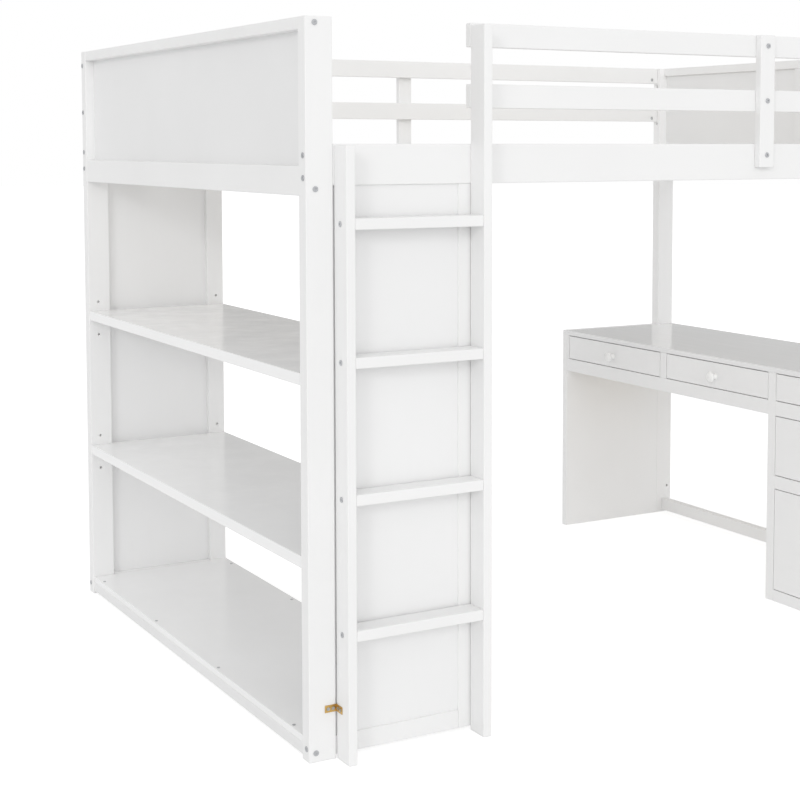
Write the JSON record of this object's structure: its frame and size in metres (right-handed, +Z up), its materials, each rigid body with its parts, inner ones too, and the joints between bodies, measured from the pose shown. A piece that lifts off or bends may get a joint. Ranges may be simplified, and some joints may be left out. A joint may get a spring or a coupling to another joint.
{
  "type": "loft bed with desk",
  "caption": "White full-size loft bed on posts with a ladder, an open bookcase at one end, a drawer desk at the other end and guard rails round the deck.",
  "frame": {"origin": "on the floor, below the middle of the whole bed's box", "axes": "+X along the bed from the bookcase end to the desk end, +Y from the ladder side to the far side, +Z up"},
  "size_m": [2.033, 1.5364, 1.51],
  "materials": {
    "white_paint": "satin white paint on solid wood",
    "panel_paint": "satin white paint on board",
    "shelf_paint": "satin white paint on board",
    "desk_top_lacquer": "semi-gloss white lacquer",
    "drawer_front_paint": "satin white paint on board",
    "knob_lacquer": "gloss white lacquer on turned wood",
    "bare_pine": "planed, unpainted",
    "drawer_pine": "planed, clear varnish",
    "bolt_steel": "nickel plated",
    "zinc_steel": "zinc plated",
    "brass": "satin"
  },
  "bodies": {
    "root": {"post_front_left": "white_paint", "post_back_left": "white_paint", "post_front_right": "white_paint", "post_back_right": "white_paint", "headboard_rails": "white_paint", "headboard_panel": "panel_paint", "footboard_rails": "white_paint", "footboard_panel": "panel_paint", "end_panel_battens": "white_paint", "side_rail_front": "white_paint", "side_rail_back": "white_paint", "slat_ledgers": "bare_pine", "centre_beam": "bare_pine", "slats": "bare_pine", "guard_front_rails": "white_paint", "guard_front_post": "white_paint", "guard_back_rails": "white_paint", "guard_back_post": "white_paint", "ladder_left_stile": "white_paint", "ladder_right_stile": "white_paint", "ladder_rungs": "white_paint", "ladder_bracket": "brass", "bookcase_front_frame": "white_paint", "bookcase_front_panel": "panel_paint", "bookcase_back_frame": "white_paint", "bookcase_back_panel": "panel_paint", "bookcase_bottom_board": "shelf_paint", "bookcase_kick_rails": "white_paint", "bookcase_lower_shelf": "shelf_paint", "bookcase_upper_shelf": "shelf_paint", "shelf_pins": "zinc_steel", "desk_top": "desk_top_lacquer", "desk_end_panel_back": "white_paint", "desk_end_panel_front": "white_paint", "desk_partitions": "white_paint", "desk_face_frame": "white_paint", "desk_back_rail": "white_paint", "pedestal_back_panel": "panel_paint", "desk_foot_rail": "white_paint", "drawer_runners": "bare_pine", "frame_bolts": "bolt_steel", "barrel_nuts": "zinc_steel", "ladder_guard_bolts": "bolt_steel", "wood_screws": "zinc_steel"},
    "drawer_1": {"drawer_1_front": "drawer_front_paint", "drawer_1_box": "drawer_pine", "drawer_1_knob": "knob_lacquer"},
    "drawer_2": {"drawer_2_front": "drawer_front_paint", "drawer_2_box": "drawer_pine", "drawer_2_knob": "knob_lacquer"},
    "drawer_3": {"drawer_3_front": "drawer_front_paint", "drawer_3_box": "drawer_pine", "drawer_3_knob": "knob_lacquer"},
    "drawer_4": {"drawer_4_front": "drawer_front_paint", "drawer_4_box": "drawer_pine", "drawer_4_knob": "knob_lacquer"},
    "drawer_5": {"drawer_5_front": "drawer_front_paint", "drawer_5_box": "drawer_pine", "drawer_5_knob": "knob_lacquer"}
  },
  "joints": [
    {"name": "drawer_1_slide", "type": "slide", "parent": "root", "child": "drawer_1", "axis": [-1, 0, 0], "range_m": [0, 0.28]},
    {"name": "drawer_2_slide", "type": "slide", "parent": "root", "child": "drawer_2", "axis": [-1, 0, 0], "range_m": [0, 0.28]},
    {"name": "drawer_3_slide", "type": "slide", "parent": "root", "child": "drawer_3", "axis": [-1, 0, 0], "range_m": [0, 0.28]},
    {"name": "drawer_4_slide", "type": "slide", "parent": "root", "child": "drawer_4", "axis": [-1, 0, 0], "range_m": [0, 0.28]},
    {"name": "drawer_5_slide", "type": "slide", "parent": "root", "child": "drawer_5", "axis": [-1, 0, 0], "range_m": [0, 0.28]}
  ]
}
